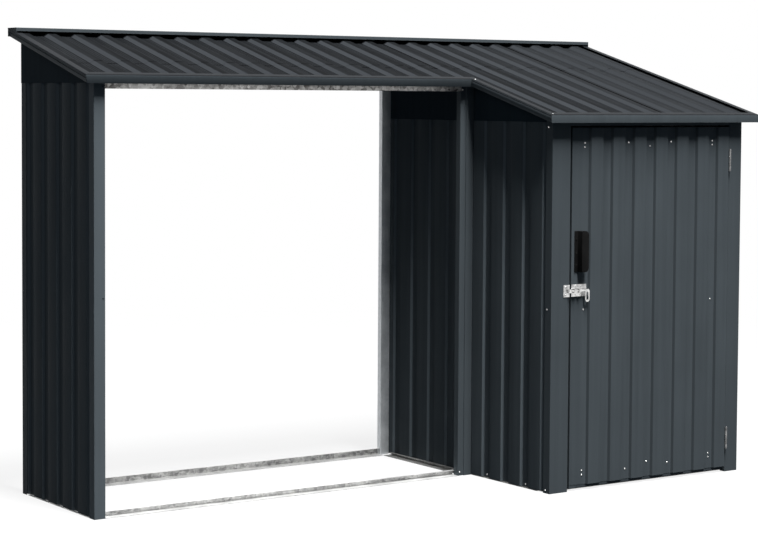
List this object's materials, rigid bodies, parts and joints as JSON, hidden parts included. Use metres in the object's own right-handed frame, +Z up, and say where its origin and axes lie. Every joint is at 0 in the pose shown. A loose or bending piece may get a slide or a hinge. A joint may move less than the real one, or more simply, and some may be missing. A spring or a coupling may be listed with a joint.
{
  "type": "log store with tool shed",
  "caption": "Sheet-metal log store: an open log bay beside a deeper tool shed with a hinged door and slide bolt, under one ribbed roof that falls to the front.",
  "frame": {"origin": "on the ground, under the middle of the roof's plan box", "axes": "+X along the front towards the tool shed, +Y from front to back, +Z up"},
  "size_m": [2.6028, 1.0798, 1.6582],
  "materials": {
    "painted_sheet": "satin anthracite coating on ribbed sheet",
    "painted_trim": "satin anthracite coating on folded trims",
    "galvanised": "mottled galvanised steel",
    "zinc_plate": "bright zinc plate",
    "black_plastic": "moulded black plastic"
  },
  "bodies": {
    "store": {"base_rail_log_front": "galvanised", "base_rail_log_back": "galvanised", "base_rail_left": "galvanised", "base_rail_partition": "galvanised", "base_rail_right": "galvanised", "base_rail_shed_front": "galvanised", "base_rail_shed_back": "galvanised", "top_rail_log_front": "galvanised", "top_rail_log_back": "galvanised", "top_rail_left": "galvanised", "top_rail_partition": "galvanised", "top_rail_right": "galvanised", "door_header": "painted_trim", "top_rail_shed_back": "galvanised", "post_left_front": "painted_trim", "post_left_back": "painted_trim", "post_middle_front": "painted_trim", "post_middle_back": "galvanised", "jamb_left": "painted_trim", "jamb_right": "painted_trim", "corner_back_right": "painted_trim", "wall_left": "painted_sheet", "wall_partition_front": "painted_sheet", "wall_partition_back": "painted_sheet", "wall_right": "painted_sheet", "wall_back": "painted_sheet", "gable_left": "painted_sheet", "gable_partition": "painted_sheet", "gable_right": "painted_sheet", "roof_upper_sheets": "painted_sheet", "roof_log_sheet": "painted_sheet", "roof_shed_sheets": "painted_sheet", "fascia_log_front": "painted_trim", "fascia_left": "painted_trim", "fascia_shed_left": "painted_trim", "fascia_shed_front": "painted_trim", "fascia_right": "painted_trim", "trim_back": "painted_trim", "hinge_jamb_leaves": "zinc_plate", "bolt_keeper": "zinc_plate"},
    "door": {"door_sheet": "painted_sheet", "door_frame": "painted_trim", "door_handle": "black_plastic", "hinge_door_leaves": "zinc_plate", "bolt_housing": "zinc_plate"},
    "bolt": {"slide_bolt": "zinc_plate"}
  },
  "joints": [
    {"name": "door_hinge", "type": "hinge", "parent": "store", "child": "door", "pos_m": [1.1845, -0.508, 0.66], "axis": [0, 0, 1], "range_deg": [0, 110]},
    {"name": "bolt_slide", "type": "slide", "parent": "door", "child": "bolt", "axis": [-1, 0, 0], "range_m": [0, 0.02]}
  ]
}
